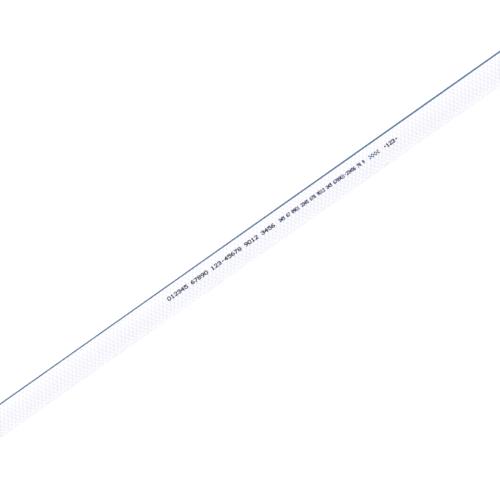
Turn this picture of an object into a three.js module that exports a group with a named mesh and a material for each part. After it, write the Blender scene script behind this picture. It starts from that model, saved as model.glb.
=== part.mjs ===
// Reinforced fluoropolymer hose: one straight metre of round hose, cut square at both ends.
// Millimetres, +Z up. The hose lies along X on the floor z = 0, with its middle over the origin.

import * as THREE from "three";

// Driving dimensions
const length = 1000; // cut length, from end face to end face
const bore = 15; // inside diameter, across the flats of the faceted bore
const wall = 3.5; // liner, yarn and cover together, bonded into one wall
const sides = 48; // flats around the tube, a multiple of four so that one lies on the floor

// Sizes that follow
const innerRadius = bore / 2;
const outerRadius = innerRadius + wall;
const cornerShare = 1 / Math.cos(Math.PI / sides); // a corner's radius for a flat's radius of 1

// The wall's section as a closed profile: x is the distance from the axis and y runs along the hose.
function wallProfile() {
  const inner = innerRadius * cornerShare;
  const outer = outerRadius * cornerShare;
  const end = length / 2;
  return [
    new THREE.Vector2(inner, -end),
    new THREE.Vector2(outer, -end),
    new THREE.Vector2(outer, end),
    new THREE.Vector2(inner, end),
    new THREE.Vector2(inner, -end),
  ];
}

// Soft milky cover, slightly bluish and a little glossy
function coverMaterial() {
  return new THREE.MeshStandardMaterial({
    name: "soft_milky_cover",
    color: 0xf4f6f9,
    roughness: 0.35,
    metalness: 0,
  });
}

// The tube turns about its own axis by half a flat, so that flats face down, up and to both sides.
function makeHose() {
  const geometry = new THREE.LatheGeometry(wallProfile(), sides, Math.PI / sides);
  const hose = new THREE.Mesh(geometry, coverMaterial());
  hose.name = "hose";
  hose.rotation.z = -Math.PI / 2;
  hose.position.z = outerRadius;
  return hose;
}

const group = new THREE.Group();
group.name = "fluoropolymer_hose";
group.add(makeHose());

export default group;
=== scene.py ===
"""Looks of one straight length of braided fluoropolymer hose, lying on a pale floor.

The wall is built as the real one is: a smooth liner, twenty-four flat yarns braided over it, and a milky
cover with a thin blue line in it and small printed digits on it. The hose lies along X. An angle round it,
called turn, is 0 on the front side (-Y), 90 degrees on top and 180 degrees on the back side (+Y).
"""

import math

import bpy
import numpy as np
from bpy.props import (
    FloatProperty,
    FloatVectorProperty,
    IntProperty,
    PointerProperty,
    StringProperty,
)
from mathutils import Matrix, Vector


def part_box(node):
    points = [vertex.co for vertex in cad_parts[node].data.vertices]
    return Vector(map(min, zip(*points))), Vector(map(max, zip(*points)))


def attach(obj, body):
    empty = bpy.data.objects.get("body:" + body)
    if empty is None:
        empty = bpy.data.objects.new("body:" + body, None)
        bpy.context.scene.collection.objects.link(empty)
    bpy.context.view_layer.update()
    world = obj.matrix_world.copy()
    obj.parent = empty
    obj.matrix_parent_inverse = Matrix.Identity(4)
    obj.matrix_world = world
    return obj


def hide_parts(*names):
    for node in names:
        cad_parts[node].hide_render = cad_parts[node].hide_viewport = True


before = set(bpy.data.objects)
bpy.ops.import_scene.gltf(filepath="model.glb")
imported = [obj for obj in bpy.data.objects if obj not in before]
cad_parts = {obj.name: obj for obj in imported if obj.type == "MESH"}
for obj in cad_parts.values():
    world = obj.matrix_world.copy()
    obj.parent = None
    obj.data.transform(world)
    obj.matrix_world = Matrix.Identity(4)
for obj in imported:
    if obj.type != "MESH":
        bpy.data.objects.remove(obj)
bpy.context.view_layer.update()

bl_info = {
    "name": "Braided fluoropolymer hose",
    "version": (1, 0, 0),
    "blender": (4, 5, 0),
    "location": "View3D > Sidebar > Hose",
    "description": "Builds the liner, braid, cover, line and print of one straight length of hose",
    "category": "Object",
}

MM = 0.001
HOSE_NODE = "hose"
lowest, highest = (Vector(corner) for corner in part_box(HOSE_NODE))
AXIS_HEIGHT = (lowest.z + highest.z) / 2

# A yarn shows through the cover as a soft band, which starts where the cosine of the yarn's winding passes
# the first value and is full from the second value on.
BAND_STARTS = -0.8
BAND_FULL = 0.45

# An ink dot is a low dome that bites into the cover. Its rim stands a quarter as high as its middle.
DOT_RISE = 0.02 * MM
DOT_SINK = 0.02 * MM
DOT_RIM = 0.25 * DOT_RISE

PATH_POINTS = 31

# Rows of each sign of a dot-matrix printer, from the top row down. The star is a block of four dots.
DOT_ROWS = {
    "0": (".###.", "#...#", "#...#", "#...#", "#...#", "#...#", ".###."),
    "1": ("..#..", ".##..", "..#..", "..#..", "..#..", "..#..", ".###."),
    "2": (".###.", "#...#", "....#", "...#.", "..#..", ".#...", "#####"),
    "3": (".###.", "#...#", "....#", "..##.", "....#", "#...#", ".###."),
    "4": ("...#.", "..##.", ".#.#.", "#..#.", "#####", "...#.", "...#."),
    "5": ("#####", "#....", "####.", "....#", "....#", "#...#", ".###."),
    "6": ("..##.", ".#...", "#....", "####.", "#...#", "#...#", ".###."),
    "7": ("#####", "....#", "...#.", "..#..", "..#..", ".#...", ".#..."),
    "8": (".###.", "#...#", "#...#", ".###.", "#...#", "#...#", ".###."),
    "9": (".###.", "#...#", "#...#", ".####", "....#", "...#.", ".##.."),
    "-": (".....", ".....", ".....", ".###.", ".....", ".....", "....."),
    "*": (".....", ".....", "..##.", "..##.", ".....", ".....", "....."),
    " ": (".....",) * 7,
}
COLUMNS_PER_DIGIT = 6


def linear(hex_colour):
    """Turns an sRGB hex colour such as "#F4F6FA" into linear red, green and blue."""
    parts = [int(hex_colour[i : i + 2], 16) / 255 for i in (1, 3, 5)]
    return tuple(p / 12.92 if p <= 0.04045 else ((p + 0.055) / 1.055) ** 2.4 for p in parts)


def length_property(name, description, default):
    """A length in metres, never below zero."""
    return FloatProperty(
        name=name, description=description, default=default, min=0.0, unit="LENGTH", precision=5
    )


def place_property(name, description, default):
    """A place along the hose, in metres from its middle."""
    return FloatProperty(
        name=name, description=description, default=default, unit="LENGTH", precision=5
    )


def number_property(name, description, default):
    """A plain number, never below zero."""
    return FloatProperty(name=name, description=description, default=default, min=0.0)


def count_property(name, description, default, least=1):
    """A whole number, never below the least."""
    return IntProperty(name=name, description=description, default=default, min=least)


def angle_property(name, description, degrees):
    """An angle, given in degrees."""
    return FloatProperty(
        name=name, description=description, default=math.radians(degrees), subtype="ANGLE"
    )


def colour_property(name, description, hex_colour):
    """A colour, given as sRGB hex and kept as linear red, green and blue."""
    return FloatVectorProperty(
        name=name,
        description=description,
        default=linear(hex_colour),
        subtype="COLOR",
        size=3,
        min=0.0,
        max=1.0,
    )


class HoseSizes(bpy.types.PropertyGroup):
    """Sizes of the liner and the cover."""

    length: length_property("Length", "Cut length of the hose", highest.x - lowest.x)
    outside: length_property("Outside diameter", "Outside diameter of the cover", highest.z - lowest.z)
    bore: length_property("Bore", "Inside diameter of the liner", 15 * MM)
    liner_wall: length_property("Liner wall", "Thickness of the liner under the yarns", 1.7 * MM)
    bond: length_property("Bond", "Gap left between the liner and the cover", 0.02 * MM)
    cut_edge: length_property("Cut edge", "Rounding that the knife leaves on the cut edges", 0.12 * MM)


class BraidSizes(bpy.types.PropertyGroup):
    """Sizes of the yarn braid."""

    yarns: count_property("Yarns each way", "Yarns wound in each direction", 12, 2)
    lead: length_property("Lead", "Length of hose in which a yarn goes round once", 42.3 * MM)
    width: length_property("Yarn width", "Width of one flattened yarn", 1.6 * MM)
    thickness: length_property("Yarn thickness", "Thickness of one flattened yarn", 0.3 * MM)
    lift: number_property("Lift", "Braid's middle over the liner, in yarn thicknesses", 1.15)
    rise: number_property("Rise", "How far a woven yarn rises and falls, in yarn thicknesses", 0.55)
    proud: length_property("Proud ends", "How far cut filaments stand out of the cut faces", 0.04 * MM)


class LineSizes(bpy.types.PropertyGroup):
    """Size and place of the coloured line in the cover."""

    width: length_property("Width", "Middling width of the line round the hose", 2.65 * MM)
    wander: number_property("Wander", "Share by which the width rises and falls", 0.22)
    wave: length_property("Wander length", "Length in which the width rises and falls once", 900 * MM)
    even: place_property("Even place", "Where the width is middling and growing", 40 * MM)
    depth: length_property("Depth", "How deep the line's compound goes into the cover", 0.5 * MM)
    proud: length_property("Proud", "How far the line stands out of the cover", 0.015 * MM)
    overhang: length_property("Overhang", "How far the line stands out of the cut faces", 0.02 * MM)
    turn: angle_property("Turn", "Where the line lies at the middle of the hose", 130.5)
    twist: angle_property("Twist per metre", "How far the line winds round in a metre", 13.0)
    steps: count_property("Steps", "Rows of points along the line", 81, 2)


class PrintSizes(bpy.types.PropertyGroup):
    """Plain counting digits printed along the hose by a dot-matrix printer."""

    turn: angle_property("Turn", "Where the middle of the print lies", 73.0)
    height: length_property("Digit height", "Height of a digit round the hose", 3.0 * MM)
    large_start: place_property("Large start", "Start of the large digits", -73 * MM)
    large_pitch: length_property("Large pitch", "Length that a large digit takes", 3.12 * MM)
    large_text: StringProperty(
        name="Large digits", description="Plain digits", default="012345 67890 123-45678 9012 3456"
    )
    small_start: place_property("Small start", "Start of the small digits", 31 * MM)
    small_pitch: length_property("Small pitch", "Length that a small digit takes", 1.69 * MM)
    small_text: StringProperty(
        name="Small digits",
        description="Plain digits",
        default="345 67 8901 2345 678 9012 345 678901-23456 78 9",
    )
    small_height: length_property("Small digit height", "Height of a small digit", 2.7 * MM)
    mark_start: place_property("Mark start", "Start of the chequered mark", 114.7 * MM)
    mark_length: length_property("Mark length", "Length of the chequered mark", 9.2 * MM)
    mark_rows: count_property("Mark rows", "Rows of the chequered mark", 3)
    mark_columns: count_property("Mark columns", "Columns of the chequered mark", 7)
    end_start: place_property("End start", "Start of the digits at the end of the print", 128.3 * MM)
    end_pitch: length_property("End pitch", "Length that a digit at the end takes", 2.6 * MM)
    end_text: StringProperty(name="End digits", description="Digits between two dots", default="*123*")
    stroke: length_property("Stroke", "Width of a large digit's dot along the hose", 0.96 * MM)
    small_stroke: length_property("Small stroke", "Width of a small digit's dot", 0.624 * MM)
    dot_height: length_property("Dot height", "Height of a digit's dot round the hose", 0.78 * MM)
    mark_spread: number_property("Mark spread", "Size of a dot of the mark, in its cells", 1.24)


class HoseColours(bpy.types.PropertyGroup):
    """Colours of the hose."""

    cover: colour_property("Cover", "Milky cover over the gaps between the yarns", "#DCDCE1")
    over_yarn: colour_property("Cover over yarns", "Cover where two white yarns cross under it", "#EAEAEC")
    cut: colour_property("Cut cover", "Cut face of the milky cover", "#D8DBE1")
    liner: colour_property("Liner", "Smooth liner", "#D5DAE0")
    yarn: colour_property("Yarn", "Polyester yarn", "#FCFCFD")
    line: colour_property("Line", "Blue line", "#005680")
    ink: colour_property("Ink", "Navy printing ink", "#081650")
    small_ink: colour_property("Small ink", "Bluer ink of the small digits", "#10106C")
    mark_ink: colour_property("Mark ink", "Blue ink of the chequered mark", "#2C6C9C")


class StageSettings(bpy.types.PropertyGroup):
    """Camera, light, surroundings and floor."""

    elevation: angle_property("Elevation", "Camera's angle above the floor", 68.0)
    roll: angle_property("Roll", "How steeply the hose climbs to the right of the picture", 35.15)
    lens: FloatProperty(name="Lens", description="Focal length in millimetres", default=200.0, min=1.0)
    picture: number_property("Picture width", "Width of the picture in pixels", 500.0)
    hose_pixels: number_property("Hose width", "Width of the hose in pixels", 28.7)
    drop_pixels: number_property("Drop", "Pixels from the axis down to the picture's middle", 5.5)
    key_power: FloatProperty(
        name="Key light", description="Power of the soft light above", default=3.0, min=0.0, unit="POWER"
    )
    key_size: length_property("Key light size", "Side of the square soft light", 1.1)
    key_place: FloatVectorProperty(
        name="Key light place",
        description="Where the soft light stands",
        default=(-0.25, 0.75, 1.35),
        subtype="TRANSLATION",
        size=3,
    )
    sky: number_property("Sky", "Strength of the white surroundings", 1.17)
    floor_reach: length_property("Floor reach", "From the floor's middle to its sides", 40.0)
    floor_glow: number_property("Floor glow", "Glow that keeps the floor white by the hose", 0.11)


def add_node(tree, kind, settings=None, inputs=None):
    """Adds a node with its attributes and inputs. An input whose value is a socket is linked to it."""
    node = tree.nodes.new(kind)
    for name, value in (settings or {}).items():
        setattr(node, name, value)
    for name, value in (inputs or {}).items():
        if isinstance(value, bpy.types.NodeSocket):
            tree.links.new(value, node.inputs[name])
        else:
            node.inputs[name].default_value = value
    return node


def new_material(name):
    """A material with an empty node tree, and that tree."""
    material = bpy.data.materials.new(name)
    material.use_nodes = True
    material.node_tree.nodes.clear()
    return material, material.node_tree


def rgba(colour):
    """A linear colour with full opacity."""
    return (*colour, 1.0)


def yarns_below(tree, braid):
    """How much yarn of each winding lies under a point of the cover, from 0 to 1, with soft edges.

    A winding's phase is a full turn for each yarn passed on the way round the hose to the point, less or plus
    a full turn for each yarn passed on the way along it. The phase's cosine is 1 over the middle of a yarn,
    and a smooth step makes a soft band of it. The Mapping node puts the axis at height 0, makes X the phase
    along the hose and changes the sign of Y, so that the angle is the turn."""
    coords = add_node(tree, "ShaderNodeTexCoord").outputs["Object"]
    mapped = add_node(
        tree,
        "ShaderNodeMapping",
        inputs={
            "Vector": coords,
            "Location": (0.0, 0.0, -AXIS_HEIGHT),
            "Scale": (2 * math.pi * braid.yarns / braid.lead, -1.0, 1.0),
        },
    )
    spot = add_node(tree, "ShaderNodeSeparateXYZ", inputs={"Vector": mapped.outputs["Vector"]})
    turn = add_node(
        tree, "ShaderNodeMath", {"operation": "ARCTAN2"}, {0: spot.outputs["Z"], 1: spot.outputs["Y"]}
    )
    around = add_node(
        tree, "ShaderNodeMath", {"operation": "MULTIPLY"}, {0: turn.outputs["Value"], 1: braid.yarns}
    )
    bands = []
    for way in ("SUBTRACT", "ADD"):
        phase = add_node(
            tree, "ShaderNodeMath", {"operation": way}, {0: around.outputs["Value"], 1: spot.outputs["X"]}
        )
        wave = add_node(tree, "ShaderNodeMath", {"operation": "COSINE"}, {0: phase.outputs["Value"]})
        band = add_node(
            tree,
            "ShaderNodeMapRange",
            {"interpolation_type": "SMOOTHSTEP"},
            {"Value": wave.outputs["Value"], "From Min": BAND_STARTS, "From Max": BAND_FULL},
        )
        bands.append(band.outputs["Result"])
    return bands


def milky_elastomer(braid, colours):
    """Extruded milky thermoplastic elastomer: satin, and whiter and slightly swollen over the yarns."""
    material, tree = new_material("milky_thermoplastic_elastomer_extruded")
    coords = add_node(tree, "ShaderNodeTexCoord").outputs["Object"]
    right, left = yarns_below(tree, braid)
    # Each band counts half for the colour, so that only a crossing of two yarns has all of it.
    layers = add_node(tree, "ShaderNodeMath", {"operation": "ADD"}, {0: right, 1: left}).outputs["Value"]
    share = add_node(tree, "ShaderNodeMath", {"operation": "MULTIPLY"}, {0: layers, 1: 0.5})
    show_through = add_node(
        tree,
        "ShaderNodeMix",
        {"data_type": "RGBA"},
        {"Factor": share.outputs["Value"], "A": rgba(colours.cover), "B": rgba(colours.over_yarn)},
    )
    # The die leaves faint streaks that run along the hose, 1250 to the metre round it, so 0.8 mm apart.
    streak_place = add_node(
        tree, "ShaderNodeMapping", inputs={"Vector": coords, "Scale": (12.0, 1250.0, 1250.0)}
    )
    streaks = add_node(
        tree,
        "ShaderNodeTexNoise",
        inputs={"Vector": streak_place.outputs["Vector"], "Scale": 1.0, "Detail": 3.0},
    )
    gloss = add_node(
        tree, "ShaderNodeMapRange", inputs={"Value": streaks.outputs["Fac"], "To Min": 0.26, "To Max": 0.42}
    )
    relief = add_node(
        tree, "ShaderNodeBump", inputs={"Height": layers, "Distance": 0.04 * MM, "Strength": 1.0}
    )
    shader = add_node(
        tree,
        "ShaderNodeBsdfPrincipled",
        inputs={
            "Base Color": show_through.outputs["Result"],
            "Roughness": gloss.outputs["Result"],
            "Normal": relief.outputs["Normal"],
            "IOR": 1.48,
            "Specular IOR Level": 0.35,
            "Subsurface Weight": 0.3,
            "Subsurface Radius": (1.0, 1.0, 1.0),
            "Subsurface Scale": 0.6 * MM,
        },
    )
    add_node(tree, "ShaderNodeOutputMaterial", inputs={"Surface": shader.outputs["BSDF"]})
    return material


def cut_elastomer(colour):
    """Knife-cut elastomer: the same compound, dull, with the blade's fine scratches."""
    material, tree = new_material("milky_thermoplastic_elastomer_knife_cut")
    coords = add_node(tree, "ShaderNodeTexCoord").outputs["Object"]
    # Blade marks lie level across the end face, 2500 to the metre, so 0.4 mm apart.
    marks_place = add_node(
        tree, "ShaderNodeMapping", inputs={"Vector": coords, "Scale": (1.0, 150.0, 2500.0)}
    )
    marks = add_node(
        tree,
        "ShaderNodeTexNoise",
        inputs={"Vector": marks_place.outputs["Vector"], "Scale": 1.0, "Detail": 4.0},
    )
    scratches = add_node(
        tree, "ShaderNodeBump", inputs={"Height": marks.outputs["Fac"], "Distance": 0.03 * MM}
    )
    shader = add_node(
        tree,
        "ShaderNodeBsdfPrincipled",
        inputs={
            "Base Color": rgba(colour),
            "Roughness": 0.55,
            "Normal": scratches.outputs["Normal"],
            "IOR": 1.48,
        },
    )
    add_node(tree, "ShaderNodeOutputMaterial", inputs={"Surface": shader.outputs["BSDF"]})
    return material


def fluoropolymer(colour, shade=0.93, glow=0.12):
    """Extruded fluoropolymer: waxy and smooth, with a low index and a faint cloudiness some 6 mm wide.

    The real wall lets daylight through, so the bore is never black. A faint glow stands for that light."""
    material, tree = new_material("fluoropolymer_extruded_liner")
    coords = add_node(tree, "ShaderNodeTexCoord").outputs["Object"]
    cloud = add_node(
        tree, "ShaderNodeTexNoise", inputs={"Vector": coords, "Scale": 180.0, "Detail": 3.0}
    )
    clouded = [shade * part for part in colour]
    tint = add_node(
        tree,
        "ShaderNodeMix",
        {"data_type": "RGBA"},
        {"Factor": cloud.outputs["Fac"], "A": rgba(colour), "B": rgba(clouded)},
    )
    shader = add_node(
        tree,
        "ShaderNodeBsdfPrincipled",
        inputs={
            "Base Color": tint.outputs["Result"],
            "Roughness": 0.24,
            "IOR": 1.38,
            "Emission Color": rgba(colour),
            "Emission Strength": glow,
        },
    )
    add_node(tree, "ShaderNodeOutputMaterial", inputs={"Surface": shader.outputs["BSDF"]})
    return material


def polyester_yarn(colour):
    """Polyester filament yarn: bright white, soft sheen, with filaments lying along it."""
    material, tree = new_material("polyester_filament_yarn")
    uv = add_node(tree, "ShaderNodeTexCoord").outputs["UV"]
    # Filaments are about 0.02 mm thick. They are drawn about 0.15 mm apart so that they show.
    lay = add_node(tree, "ShaderNodeMapping", inputs={"Vector": uv, "Scale": (60.0, 22.0, 1.0)})
    strands = add_node(tree, "ShaderNodeTexNoise", inputs={"Vector": lay.outputs["Vector"], "Scale": 1.0})
    filaments = add_node(
        tree, "ShaderNodeBump", inputs={"Height": strands.outputs["Fac"], "Distance": 0.03 * MM}
    )
    shader = add_node(
        tree,
        "ShaderNodeBsdfPrincipled",
        inputs={
            "Base Color": rgba(colour),
            "Roughness": 0.5,
            "Normal": filaments.outputs["Normal"],
            "Sheen Weight": 0.2,
        },
    )
    add_node(tree, "ShaderNodeOutputMaterial", inputs={"Surface": shader.outputs["BSDF"]})
    return material


def coloured_compound(name, colour, roughness, shade=0.8):
    """Pigmented compound or ink: one colour with a slightly darker mottle about a millimetre wide."""
    material, tree = new_material(name)
    coords = add_node(tree, "ShaderNodeTexCoord").outputs["Object"]
    mottle = add_node(
        tree, "ShaderNodeTexNoise", inputs={"Vector": coords, "Scale": 900.0, "Detail": 2.0}
    )
    darker = [shade * part for part in colour]
    tint = add_node(
        tree,
        "ShaderNodeMix",
        {"data_type": "RGBA"},
        {"Factor": mottle.outputs["Fac"], "A": rgba(colour), "B": rgba(darker)},
    )
    shader = add_node(
        tree,
        "ShaderNodeBsdfPrincipled",
        inputs={"Base Color": tint.outputs["Result"], "Roughness": roughness, "Specular IOR Level": 0.3},
    )
    add_node(tree, "ShaderNodeOutputMaterial", inputs={"Surface": shader.outputs["BSDF"]})
    return material


def place(along, radius, turn):
    """Points at the given places along the hose, distances from its axis and turns round it."""
    along, radius, turn = np.broadcast_arrays(along, radius, turn)
    return np.stack([along, -radius * np.cos(turn), AXIS_HEIGHT + radius * np.sin(turn)], axis=-1)


def grid_corners(rows, columns, wrap_rows=False, wrap_columns=False):
    """Row and column numbers of each quad's corners on a grid of points, counted on past a wrapped edge."""
    row_starts = np.arange(rows if wrap_rows else rows - 1)
    column_starts = np.arange(columns if wrap_columns else columns - 1)
    row, column = np.meshgrid(row_starts, column_starts, indexing="ij")
    row = np.stack([row, row + 1, row + 1, row], axis=-1).reshape(-1, 4)
    column = np.stack([column, column, column + 1, column + 1], axis=-1).reshape(-1, 4)
    return row, column


def make_piece(name, points, faces, uv=None):
    """A mesh object from arrays of points, of faces with equally many corners, and of the corners' UVs."""
    faces = np.asarray(faces)
    count, corners = faces.shape
    mesh = bpy.data.meshes.new(name)
    mesh.vertices.add(len(points))
    mesh.vertices.foreach_set("co", np.asarray(points, dtype=np.float32).ravel())
    mesh.loops.add(count * corners)
    mesh.loops.foreach_set("vertex_index", faces.astype(np.int32).ravel())
    mesh.polygons.add(count)
    mesh.polygons.foreach_set("loop_start", np.arange(0, count * corners, corners, dtype=np.int32))
    mesh.polygons.foreach_set("use_smooth", np.ones(count, dtype=bool))
    if uv is not None:
        layer = mesh.uv_layers.new(name="UVMap")
        layer.uv.foreach_set("vector", np.asarray(uv, dtype=np.float32).ravel())
    mesh.update(calc_edges=True)
    mesh.validate()
    piece = bpy.data.objects.new(name, mesh)
    bpy.context.scene.collection.objects.link(piece)
    return piece


def finish_piece(piece, slot, *materials):
    """Gives a piece its materials and ties it to the frame."""
    for material in materials:
        piece.data.materials.append(material)
    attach(piece, "root")


def tube(name, inner, outer, length, edge, around=96, along=120, edge_points=5):
    """A closed tube with rounded outer edges, turned from one profile.

    The profile goes along the outside, round the cut edge, down the end face and back through the bore, and
    is turned about the axis. The end faces are the faces whose corners share one place along the hose. They
    are flat-shaded and take the second material."""
    half = length / 2
    bend = np.linspace(0, math.pi / 2, edge_points)
    body = np.linspace(-half + edge, half - edge, along)
    far_edge = np.stack([half - edge + edge * np.sin(bend), outer - edge + edge * np.cos(bend)])
    near_edge = np.stack([-half + edge - edge * np.cos(bend), outer - edge + edge * np.sin(bend)])
    outside = np.stack([body, np.full(along, outer)])
    inside = np.stack([np.linspace(half, -half, along), np.full(along, inner)])
    profile = np.concatenate([outside[:, :-1], far_edge, inside, near_edge[:, :-1]], axis=1)
    turn = np.linspace(0, 2 * math.pi, around, endpoint=False)
    points = place(profile[0][:, None], profile[1][:, None], turn[None, :]).reshape(-1, 3)
    rows = profile.shape[1]
    row, column = grid_corners(rows, around, wrap_rows=True, wrap_columns=True)
    faces = (row % rows) * around + column % around
    piece = make_piece(name, points, faces)
    at_end = np.isclose(np.ptp(profile[0][row % rows], axis=1), 0.0, atol=1e-9)
    piece.data.polygons.foreach_set("material_index", at_end.astype(np.int32))
    piece.data.polygons.foreach_set("use_smooth", ~at_end)
    piece.data.update()
    return piece


def yarn_set(name, hose, braid, way, steps_per_yarn=4):
    """All yarns that wind one way (1 or -1): each is a flat six-sided section carried along a helix.

    The helix goes round once in the lead, and its radius rises and falls as a cosine with two crossings a
    wave, so that a yarn passes over one yarn of the other set and under the next. The section lies square to
    the helix, but each row of points is taken where the section's corners meet one plane across the hose, so
    that a corner's own place on the helix is ahead of the plane by its share of the width. The yarns end just
    outside the cut faces. Their UVs run along the yarn and round it."""
    half = hose.length / 2 + braid.proud
    waves = hose.length / braid.lead * braid.yarns
    along = np.linspace(-half, half, round(waves * steps_per_yarn) + 1)[:, None]
    start = (np.arange(braid.yarns) * 2 * math.pi / braid.yarns)[:, None, None]
    middle = hose.bore / 2 + hose.liner_wall + braid.lift * braid.thickness
    slant = math.atan(2 * math.pi * middle / braid.lead)
    across = braid.width / 2 * np.array([1.0, 0.5, -0.5, -1.0, -0.5, 0.5])
    height = braid.thickness / 2 * np.array([0.0, 1.0, 1.0, 0.0, -1.0, -1.0])
    helix = 2 * math.pi / braid.lead * (along + across * math.sin(slant))
    weave = way * braid.rise * braid.thickness * np.cos(braid.yarns * helix)
    turn = start + way * (helix + across * math.cos(slant) / middle)
    points = place(along, middle + weave + height, turn)
    rows, columns = helix.shape
    row, column = grid_corners(rows, columns, wrap_columns=True)
    sides = row * columns + column % columns
    sides_map = np.stack([row / rows, column / columns], axis=-1)
    caps = np.array([[0, 1, 2, 3], [0, 3, 4, 5]])
    caps_map = np.stack([np.zeros(caps.shape), caps / columns], axis=-1)
    one = np.concatenate([sides, caps, caps[:, ::-1] + (rows - 1) * columns])
    one_map = np.concatenate([sides_map, caps_map, caps_map[:, ::-1]])
    if way > 0:
        one = one[:, ::-1]
        one_map = one_map[:, ::-1]
    faces = one[None] + (np.arange(braid.yarns) * rows * columns)[:, None, None]
    uv = np.tile(one_map, (braid.yarns, 1, 1))
    return make_piece(name, points.reshape(-1, 3), faces.reshape(-1, 4), uv)


def strip(name, along, bottom, top, turn, width, columns=9):
    """A closed strip that follows the hose's surface: a grid of columns round the hose, at the top's radius
    and again at the bottom's, joined along its rim. turn and width are arrays with its middle and its width
    at each step."""
    steps = len(along)
    spread = np.linspace(-0.5, 0.5, columns) * width[:, None] / top
    outer = place(along[:, None], top, turn[:, None] + spread)
    inner = place(along[:, None], bottom, turn[:, None] + spread[:, ::-1])
    points = np.concatenate([outer, inner], axis=1).reshape(-1, 3)
    ring = 2 * columns
    row, column = grid_corners(steps, ring, wrap_columns=True)
    sides = row * ring + column % ring
    first = np.arange(columns - 1)
    cap = np.stack([first, first + 1, ring - 2 - first, ring - 1 - first], axis=-1)
    faces = np.concatenate([sides, cap, cap[:, ::-1] + (steps - 1) * ring])
    return make_piece(name, points, faces)


def text_dots(text, start, digit_pitch, height):
    """Places of a text's dots, as lengths along the hose and heights round it from the print's middle."""
    rows = len(DOT_ROWS["0"])
    spots = np.array([
        (number * COLUMNS_PER_DIGIT + column, rows - 1 - row)
        for number, digit in enumerate(text)
        for row, dots in enumerate(DOT_ROWS[digit])
        for column, dot in enumerate(dots)
        if dot == "#"
    ])
    row_pitch = height / rows
    along = start + (spots[:, 0] + 0.5) * digit_pitch / COLUMNS_PER_DIGIT
    up = (spots[:, 1] - (rows - 1) / 2) * row_pitch
    return np.stack([along, up], axis=-1)


def chequered_dots(start, length, height, rows, columns):
    """Places of every second dot of a block, as lengths along the hose and heights round it."""
    row, column = np.divmod(np.arange(0, rows * columns, 2), columns)
    along = start + (column + 0.5) / columns * length
    up = ((row + 0.5) / rows - 0.5) * height
    return np.stack([along, up], axis=-1)


def dot_piece(name, centres, half_length, half_height, radius, turn, corners=8):
    """Ink dots: each is a low closed dome on the cover, a fan of triangles above its rim and one below it."""
    angle = np.arange(corners) * 2 * math.pi / corners
    rim = [half_length * np.cos(angle), half_height * np.sin(angle), np.full(corners, DOT_RIM)]
    dot = np.concatenate([np.stack(rim, axis=-1), [[0, 0, DOT_RISE]], [[0, 0, -DOT_SINK]]])
    following = (np.arange(corners) + 1) % corners
    top = np.stack([np.arange(corners), following, np.full(corners, corners)], axis=-1)
    bottom = np.stack([following, np.arange(corners), np.full(corners, corners + 1)], axis=-1)
    local = dot[None] + np.pad(centres, ((0, 0), (0, 1)))[:, None]
    points = place(local[..., 0], radius + local[..., 2], turn + local[..., 1] / radius)
    faces = np.concatenate([top, bottom])[None] + (np.arange(len(centres)) * len(dot))[:, None, None]
    return make_piece(name, points.reshape(-1, 3), faces.reshape(-1, 3))


class HOSE_OT_stage(bpy.types.Operator):
    """Adds the camera, the pale floor, the white surroundings and the soft light."""

    bl_idname = "hose.stage"
    bl_label = "Stage"

    def execute(self, context):
        stage = context.scene.hose_stage
        self.add_camera(context.scene, stage)
        self.add_floor(stage)
        self.add_sky(context.scene, stage)
        self.add_key_light(context.scene, stage)
        context.scene.view_settings.view_transform = "Standard"
        return {"FINISHED"}

    def add_camera(self, scene, stage):
        """The camera looks square at the hose's middle and is rolled, so that the hose climbs rightwards."""
        metres_per_pixel = (highest.z - lowest.z) / stage.hose_pixels
        back = Vector((0, -math.cos(stage.elevation), math.sin(stage.elevation)))
        up = Vector((0, math.sin(stage.elevation), math.cos(stage.elevation)))
        along = Vector((1, 0, 0))
        right = along * math.cos(stage.roll) - up * math.sin(stage.roll)
        top = along * math.sin(stage.roll) + up * math.cos(stage.roll)
        data = bpy.data.cameras.new("camera")
        data.lens = stage.lens
        distance = stage.picture * metres_per_pixel * data.lens / data.sensor_width
        target = Vector((0, 0, AXIS_HEIGHT)) - up * stage.drop_pixels * metres_per_pixel
        camera = bpy.data.objects.new("camera", data)
        turned = Matrix((right, top, back)).transposed().to_4x4()
        camera.matrix_world = Matrix.Translation(target + back * distance) @ turned
        scene.collection.objects.link(camera)
        scene.camera = camera

    def add_floor(self, stage):
        """A large level square, painted white and matt."""
        reach = stage.floor_reach
        corners = [[-reach, -reach, 0], [reach, -reach, 0], [reach, reach, 0], [-reach, reach, 0]]
        floor = make_piece("floor", corners, [[0, 1, 2, 3]])
        material, tree = new_material("white_matt_floor")
        shader = add_node(
            tree,
            "ShaderNodeBsdfPrincipled",
            inputs={
                "Base Color": rgba(linear("#FCFCFC")),
                "Roughness": 0.9,
                "Emission Color": rgba(linear("#FFFFFF")),
                "Emission Strength": stage.floor_glow,
            },
        )
        add_node(tree, "ShaderNodeOutputMaterial", inputs={"Surface": shader.outputs["BSDF"]})
        floor.data.materials.append(material)

    def add_sky(self, scene, stage):
        """Even white surroundings, very slightly blue."""
        world = bpy.data.worlds.new("surroundings")
        world.use_nodes = True
        tree = world.node_tree
        tree.nodes.clear()
        background = add_node(
            tree,
            "ShaderNodeBackground",
            inputs={"Color": rgba(linear("#FDFDFF")), "Strength": stage.sky},
        )
        add_node(tree, "ShaderNodeOutputWorld", inputs={"Surface": background.outputs["Background"]})
        scene.world = world

    def add_key_light(self, scene, stage):
        """A square soft light that faces the middle of the hose."""
        data = bpy.data.lights.new("key_softbox", "AREA")
        data.size = stage.key_size
        data.energy = stage.key_power
        light = bpy.data.objects.new("key_softbox", data)
        light.location = stage.key_place
        light.rotation_mode = "QUATERNION"
        light.rotation_quaternion = Vector(stage.key_place).to_track_quat("Z", "Y")
        scene.collection.objects.link(light)


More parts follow.
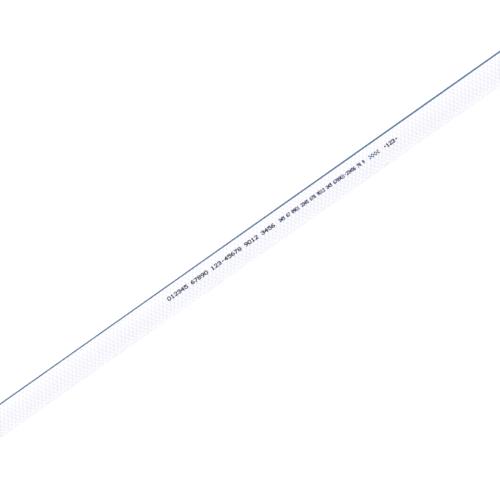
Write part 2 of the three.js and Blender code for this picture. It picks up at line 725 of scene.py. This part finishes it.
class HOSE_OT_cover(bpy.types.Operator):
    """Builds the milky outer cover, which stands for the plain solid hose."""

    bl_idname = "hose.cover"
    bl_label = "Cover"

    def execute(self, context):
        scene = context.scene
        hose, colours = scene.hose_sizes, scene.hose_colours
        inner = hose.bore / 2 + hose.liner_wall + hose.bond
        cover = tube("cover", inner, hose.outside / 2, hose.length, hose.cut_edge)
        outside = milky_elastomer(scene.hose_braid, colours)
        finish_piece(cover, "cover", outside, cut_elastomer(colours.cut))
        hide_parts(HOSE_NODE)
        return {"FINISHED"}


class HOSE_OT_liner(bpy.types.Operator):
    """Builds the smooth fluoropolymer liner with its round bore."""

    bl_idname = "hose.liner"
    bl_label = "Liner"

    def execute(self, context):
        hose, colours = context.scene.hose_sizes, context.scene.hose_colours
        material = fluoropolymer(colours.liner)
        outer = hose.bore / 2 + hose.liner_wall
        liner = tube("liner", hose.bore / 2, outer, hose.length, hose.cut_edge)
        finish_piece(liner, "liner", material, material)
        return {"FINISHED"}


class HOSE_OT_braid(bpy.types.Operator):
    """Builds the two sets of yarns that cross over and under each other."""

    bl_idname = "hose.braid"
    bl_label = "Braid"

    def execute(self, context):
        hose, braid = context.scene.hose_sizes, context.scene.hose_braid
        material = polyester_yarn(context.scene.hose_colours.yarn)
        for name, way in (("yarns_right", 1), ("yarns_left", -1)):
            finish_piece(yarn_set(name, hose, braid, way), "yarn", material)
        return {"FINISHED"}


class HOSE_OT_line(bpy.types.Operator):
    """Builds the blue line, a thin strip of coloured compound set into the cover."""

    bl_idname = "hose.line"
    bl_label = "Blue line"

    def execute(self, context):
        hose, line = context.scene.hose_sizes, context.scene.hose_line
        outer = hose.outside / 2
        half = hose.length / 2 + line.overhang
        along = np.linspace(-half, half, line.steps)
        turn = line.turn + line.twist * along
        wander = np.sin(2 * math.pi * (along - line.even) / line.wave)
        width = line.width * (1 + line.wander * wander)
        piece = strip("blue_line", along, outer - line.depth, outer + line.proud, turn, width)
        colour = context.scene.hose_colours.line
        material = coloured_compound("blue_thermoplastic_elastomer", colour, roughness=0.34)
        finish_piece(piece, "line", material)
        return {"FINISHED"}


class HOSE_OT_print(bpy.types.Operator):
    """Builds the printed digits and the chequered mark between them from ink dots."""

    bl_idname = "hose.print"
    bl_label = "Print"

    def execute(self, context):
        printed, colours = context.scene.hose_print, context.scene.hose_colours
        outer = context.scene.hose_sizes.outside / 2
        large = np.concatenate([
            text_dots(printed.large_text, printed.large_start, printed.large_pitch, printed.height),
            text_dots(printed.end_text, printed.end_start, printed.end_pitch, printed.height),
        ])
        small = text_dots(
            printed.small_text, printed.small_start, printed.small_pitch, printed.small_height
        )
        mark = chequered_dots(
            printed.mark_start,
            printed.mark_length,
            printed.height,
            printed.mark_rows,
            printed.mark_columns,
        )
        mark_dot_length = printed.mark_spread * printed.mark_length / printed.mark_columns
        mark_dot_height = printed.mark_spread * printed.height / printed.mark_rows
        dot_height = printed.dot_height
        # Name, dots, length and height of one dot, the ink's name and its colour
        groups = (
            ("large_digits", large, printed.stroke, dot_height, "navy", colours.ink),
            ("small_digits", small, printed.small_stroke, dot_height, "blue_black", colours.small_ink),
            ("blue_mark", mark, mark_dot_length, mark_dot_height, "blue", colours.mark_ink),
        )
        for name, dots, length, height, shade, colour in groups:
            piece = dot_piece(name, dots, length / 2, height / 2, outer, printed.turn)
            material = coloured_compound(f"{shade}_printing_ink", colour, roughness=0.6)
            finish_piece(piece, "print", material)
        return {"FINISHED"}


class HOSE_OT_lay(bpy.types.Operator):
    """Works out points along the hose's axis over its length; nothing uses them."""

    bl_idname = "hose.lay"
    bl_label = "Lay the hose"

    def execute(self, context):
        hose = context.scene.hose_sizes
        centres = place(np.linspace(-hose.length / 2, hose.length / 2, PATH_POINTS), 0.0, 0.0)
        return {"FINISHED"}


OPERATORS = (
    HOSE_OT_stage,
    HOSE_OT_cover,
    HOSE_OT_liner,
    HOSE_OT_braid,
    HOSE_OT_line,
    HOSE_OT_print,
    HOSE_OT_lay,
)


class HOSE_PT_panel(bpy.types.Panel):
    """Lists the steps that build the hose."""

    bl_idname = "HOSE_PT_panel"
    bl_label = "Braided hose"
    bl_space_type = "VIEW_3D"
    bl_region_type = "UI"
    bl_category = "Hose"

    def draw(self, context):
        for operator in OPERATORS:
            self.layout.operator(operator.bl_idname)


SETTINGS = {
    "hose_sizes": HoseSizes,
    "hose_braid": BraidSizes,
    "hose_line": LineSizes,
    "hose_print": PrintSizes,
    "hose_colours": HoseColours,
    "hose_stage": StageSettings,
}


def register():
    """Registers the settings, the operators and the panel."""
    for name, group in SETTINGS.items():
        bpy.utils.register_class(group)
        setattr(bpy.types.Scene, name, PointerProperty(type=group))
    for shown in (*OPERATORS, HOSE_PT_panel):
        bpy.utils.register_class(shown)


def unregister():
    """Takes away what register adds, in the opposite order."""
    for shown in (HOSE_PT_panel, *reversed(OPERATORS)):
        bpy.utils.unregister_class(shown)
    for name, group in reversed(SETTINGS.items()):
        delattr(bpy.types.Scene, name)
        bpy.utils.unregister_class(group)


def main():
    register()
    bpy.ops.hose.stage()
    bpy.ops.hose.cover()
    bpy.ops.hose.liner()
    bpy.ops.hose.braid()
    bpy.ops.hose.line()
    bpy.ops.hose.print()
    bpy.ops.hose.lay()


if __name__ == "__main__":
    main()
